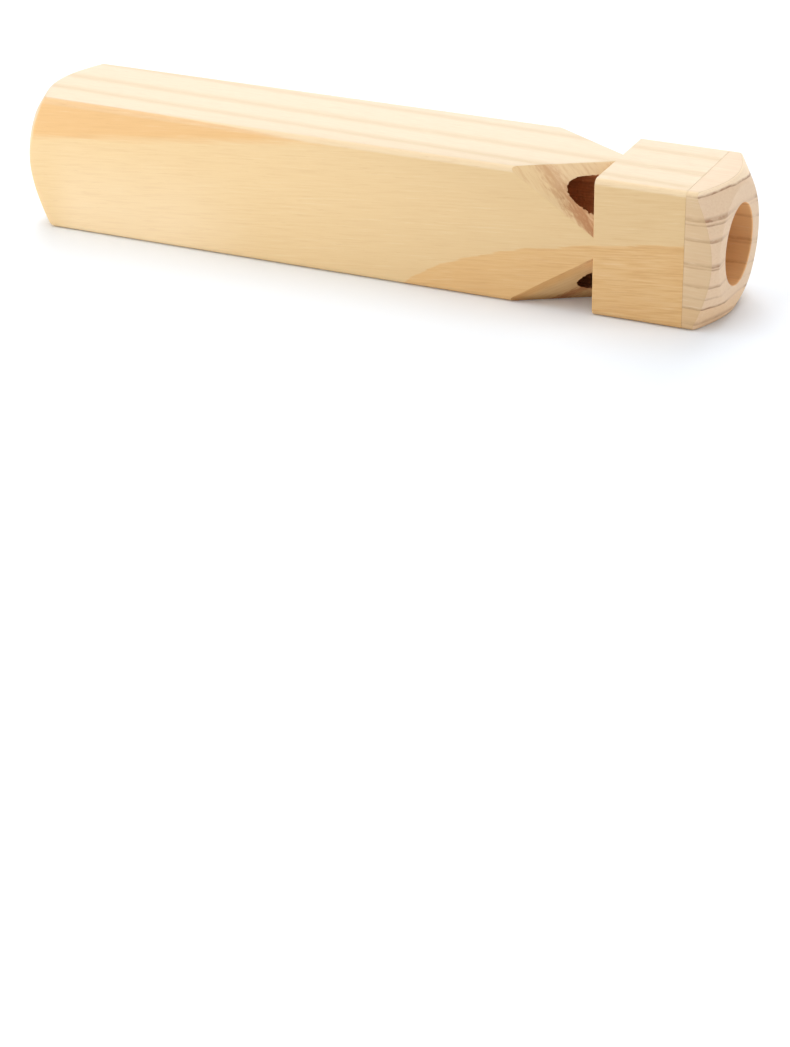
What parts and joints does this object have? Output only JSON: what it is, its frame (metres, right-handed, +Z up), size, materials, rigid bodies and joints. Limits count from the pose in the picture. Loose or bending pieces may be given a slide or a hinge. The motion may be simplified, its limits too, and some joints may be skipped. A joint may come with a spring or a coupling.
{
  "type": "train whistle",
  "caption": "Square wooden train whistle with a turned mouthpiece, stopped bores inside and corner notches that open them, blown to sound a chord.",
  "frame": {"origin": "middle of the underside as the whistle lies on its striped face", "axes": "+X along the whistle towards the mouthpiece, +Y towards the printed face, +Z up"},
  "size_m": [0.2046, 0.0356, 0.038],
  "materials": {
    "body_wood": "sanded bare pine, satin",
    "cap_wood": "sanded bare pine, satin",
    "plug_wood": "sawn birch dowel, matt"
  },
  "bodies": {
    "root": {"whistle_body": "body_wood", "mouthpiece_cap": "cap_wood", "low_note_plug": "plug_wood", "second_note_plug": "plug_wood", "third_note_plug": "plug_wood", "high_note_plug": "plug_wood"}
  },
  "joints": []
}
